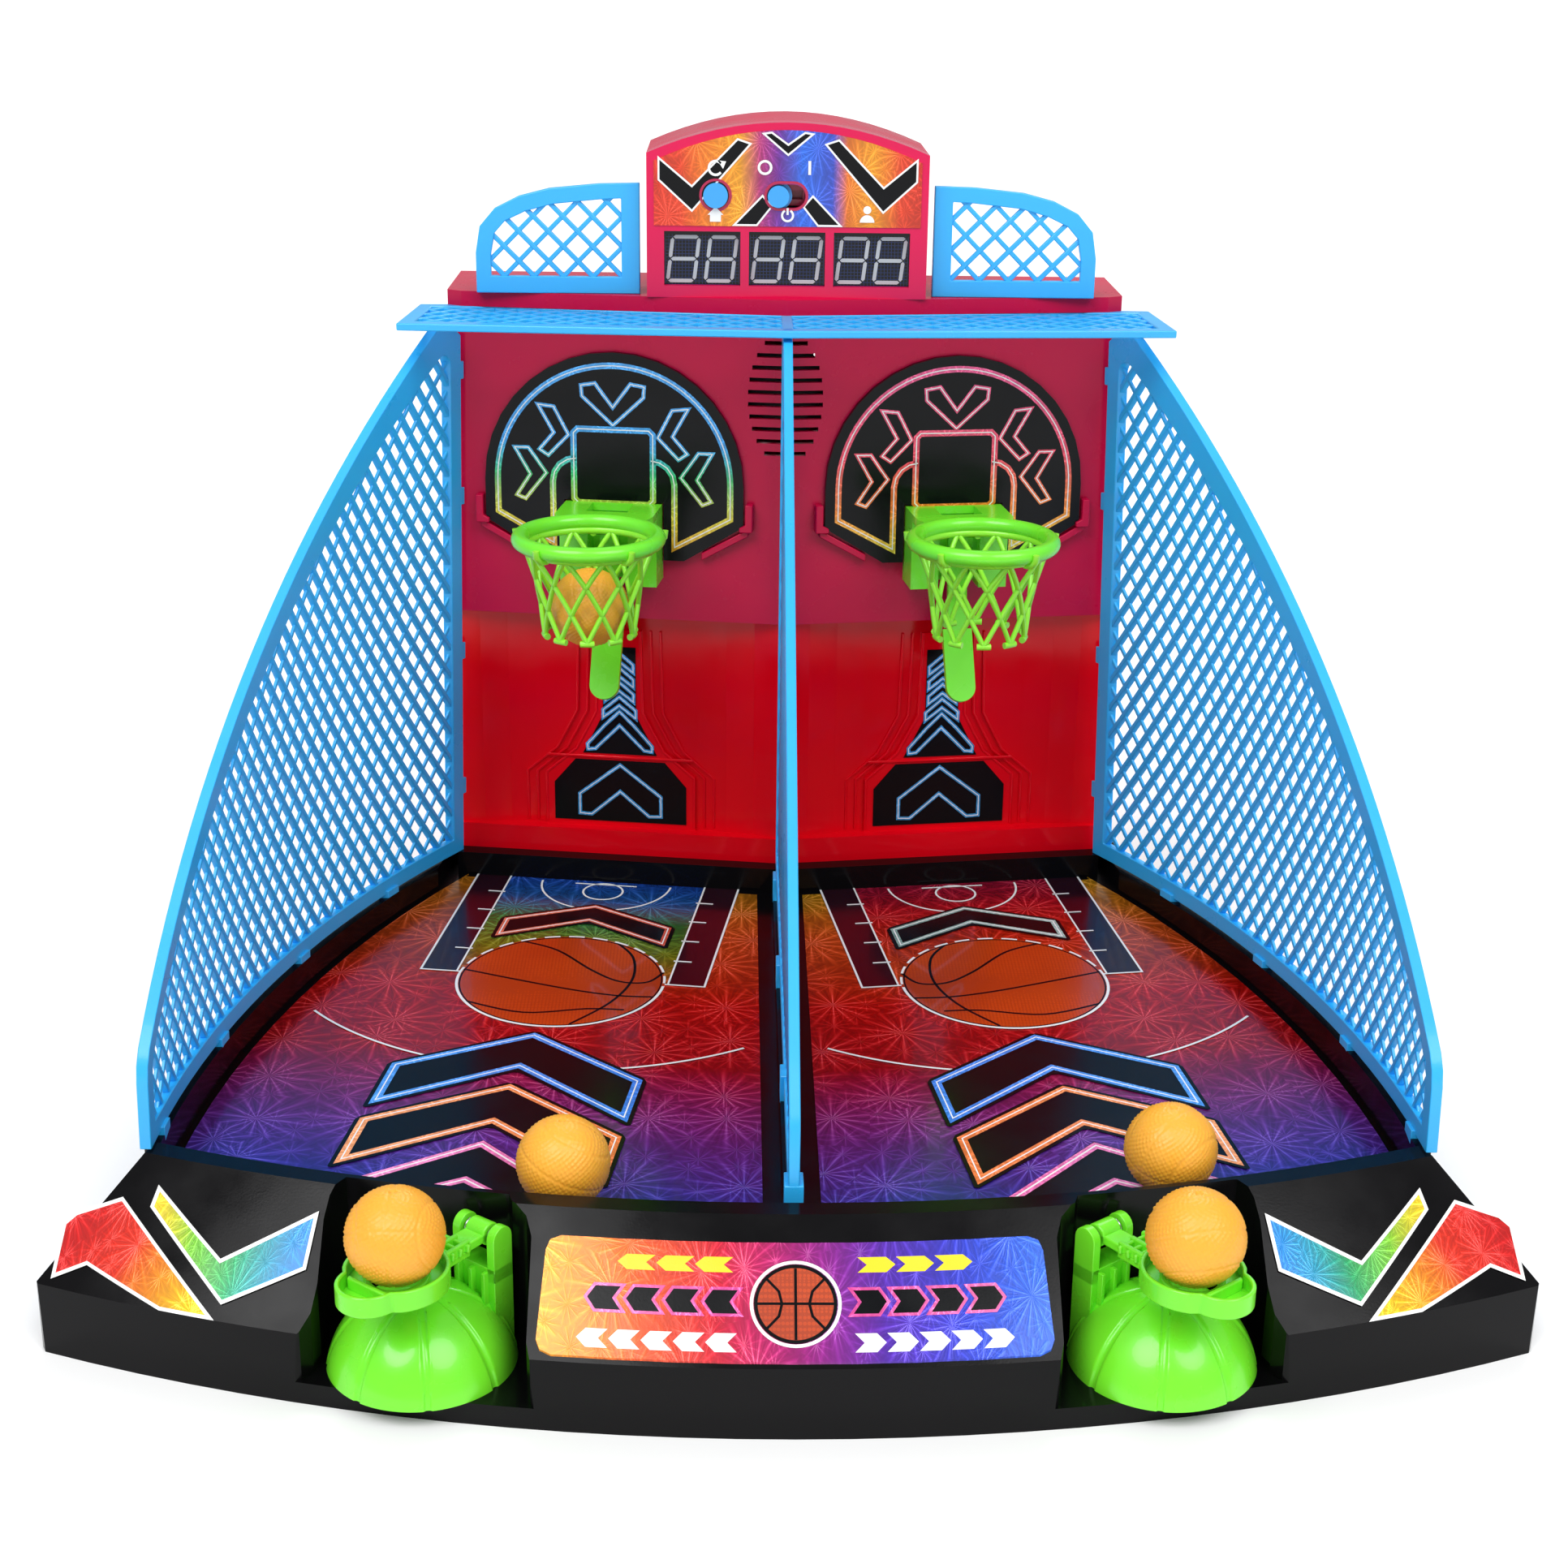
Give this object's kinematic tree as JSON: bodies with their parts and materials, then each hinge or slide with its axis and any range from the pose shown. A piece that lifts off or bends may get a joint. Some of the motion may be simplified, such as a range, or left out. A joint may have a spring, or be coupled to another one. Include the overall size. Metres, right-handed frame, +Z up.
{
  "type": "basketball hoop machine",
  "caption": "Tabletop two-lane electronic arcade basketball toy with hoops, nets, finger launchers, balls and a scoreboard tower.",
  "frame": {"origin": "middle of the footprint on the table", "axes": "+X across the lanes to the players' right, +Y from the players to the tower, +Z up"},
  "size_m": [0.402, 0.3447, 0.3],
  "materials": {
    "black_plastic": "high gloss",
    "crimson_plastic": "gloss",
    "pink_plastic": "gloss",
    "red_plastic": "gloss",
    "blue_net_plastic": "satin gloss",
    "green_plastic": "gloss",
    "clear_green_plastic": "gloss",
    "ball_plastic": "pebbled",
    "foil_court": "holographic foil",
    "foil_bright": "holographic foil",
    "foil_dark": "gloss foil",
    "smoked_window": "gloss",
    "display_grey": "satin",
    "button_blue": "satin",
    "steel": "plain",
    "board_green": "solder mask",
    "cell_wrap": "shrink wrap",
    "dark_plastic": "moulded"
  },
  "bodies": {
    "cabinet": {"base_shell": "black_plastic", "court_sticker_left": "foil_court", "court_sticker_right": "foil_court", "console_sticker_center": "foil_bright", "console_stickers_left": "foil_bright", "console_stickers_right": "foil_bright", "divider_net": "blue_net_plastic", "side_net_left": "blue_net_plastic", "side_net_right": "blue_net_plastic", "canopy_net": "blue_net_plastic", "wing_net_left": "blue_net_plastic", "wing_net_right": "blue_net_plastic", "tower_upper_shell": "crimson_plastic", "tower_lower_shell": "red_plastic", "tower_rear_cover": "crimson_plastic", "tower_cap": "crimson_plastic", "rear_cover_screws": "steel", "tower_base_screws": "steel", "tower_stickers_left": "foil_dark", "tower_stickers_right": "foil_dark", "scoreboard_bezel": "pink_plastic", "scoreboard_housing": "crimson_plastic", "scoreboard_sticker": "foil_bright", "display_panels": "smoked_window", "display_digits": "display_grey", "circuit_board": "board_green", "reset_switch": "dark_plastic", "power_switch_body": "dark_plastic", "speaker": "dark_plastic", "battery_box": "dark_plastic", "batteries": "cell_wrap", "battery_contacts": "steel", "backboard_left": "foil_dark", "backboard_right": "foil_dark", "hoop_left": "green_plastic", "hoop_right": "green_plastic", "hoop_net_left": "clear_green_plastic", "hoop_net_right": "clear_green_plastic", "sensor_pins": "steel", "sensor_switches": "dark_plastic", "launcher_base_left": "green_plastic", "launcher_base_right": "green_plastic", "launcher_pins": "steel", "launcher_springs": "steel"},
    "reset_button": {"reset_button": "button_blue"},
    "power_switch": {"power_switch_knob": "button_blue"},
    "lever_left": {"sensor_lever_left": "green_plastic"},
    "lever_right": {"sensor_lever_right": "green_plastic"},
    "arm_left": {"launcher_arm_left": "green_plastic"},
    "arm_right": {"launcher_arm_right": "green_plastic"},
    "battery_door": {"battery_door": "crimson_plastic", "battery_door_screw": "steel"},
    "net_ball": {"ball_net": "ball_plastic"},
    "floor_ball_left": {"ball_floor_left": "ball_plastic"},
    "floor_ball_right": {"ball_floor_right": "ball_plastic"},
    "launcher_ball_left": {"ball_launcher_left": "ball_plastic"},
    "launcher_ball_right": {"ball_launcher_right": "ball_plastic"}
  },
  "joints": [
    {"name": "reset_button_press", "type": "slide", "parent": "cabinet", "child": "reset_button", "axis": [0, 1, 0], "range_m": [0, 0.0012], "stiffness_N_per_m": 300, "springref_m": -0.0004},
    {"name": "power_switch_slide", "type": "slide", "parent": "cabinet", "child": "power_switch", "axis": [1, 0, 0], "range_m": [0, 0.005]},
    {"name": "sensor_lever_left_swing", "type": "hinge", "parent": "cabinet", "child": "lever_left", "pos_m": [-0.05854, 0.10606, 0.168], "axis": [0.9905, -0.1378, 0], "range_deg": [-8, 14]},
    {"name": "sensor_lever_right_swing", "type": "hinge", "parent": "cabinet", "child": "lever_right", "pos_m": [0.05854, 0.10606, 0.168], "axis": [0.9905, 0.1378, 0], "range_deg": [-8, 14]},
    {"name": "launcher_left_press", "type": "hinge", "parent": "cabinet", "child": "arm_left", "pos_m": [-0.082, -0.1326, 0.038], "axis": [0.788, -0.6157, 0], "range_deg": [0, 13], "stiffness_Nm_per_rad": 0.08, "springref_deg": -20.05},
    {"name": "launcher_right_press", "type": "hinge", "parent": "cabinet", "child": "arm_right", "pos_m": [0.082, -0.1326, 0.038], "axis": [0.788, 0.6157, 0], "range_deg": [0, 13], "stiffness_Nm_per_rad": 0.08, "springref_deg": -20.05},
    {"name": "battery_door_pull", "type": "slide", "parent": "cabinet", "child": "battery_door", "axis": [0, 1, 0], "range_m": [0, 0.02]},
    {"name": "net_ball_lift", "type": "slide", "parent": "cabinet", "child": "net_ball", "axis": [0, 0, 1], "range_m": [0, 0.05]},
    {"name": "floor_ball_left_lift", "type": "slide", "parent": "cabinet", "child": "floor_ball_left", "axis": [0, 0, 1], "range_m": [0, 0.05]},
    {"name": "floor_ball_right_lift", "type": "slide", "parent": "cabinet", "child": "floor_ball_right", "axis": [0, 0, 1], "range_m": [0, 0.05]},
    {"name": "launcher_ball_left_lift", "type": "slide", "parent": "arm_left", "child": "launcher_ball_left", "axis": [0, 0, 1], "range_m": [0, 0.05]},
    {"name": "launcher_ball_right_lift", "type": "slide", "parent": "arm_right", "child": "launcher_ball_right", "axis": [0, 0, 1], "range_m": [0, 0.05]}
  ]
}
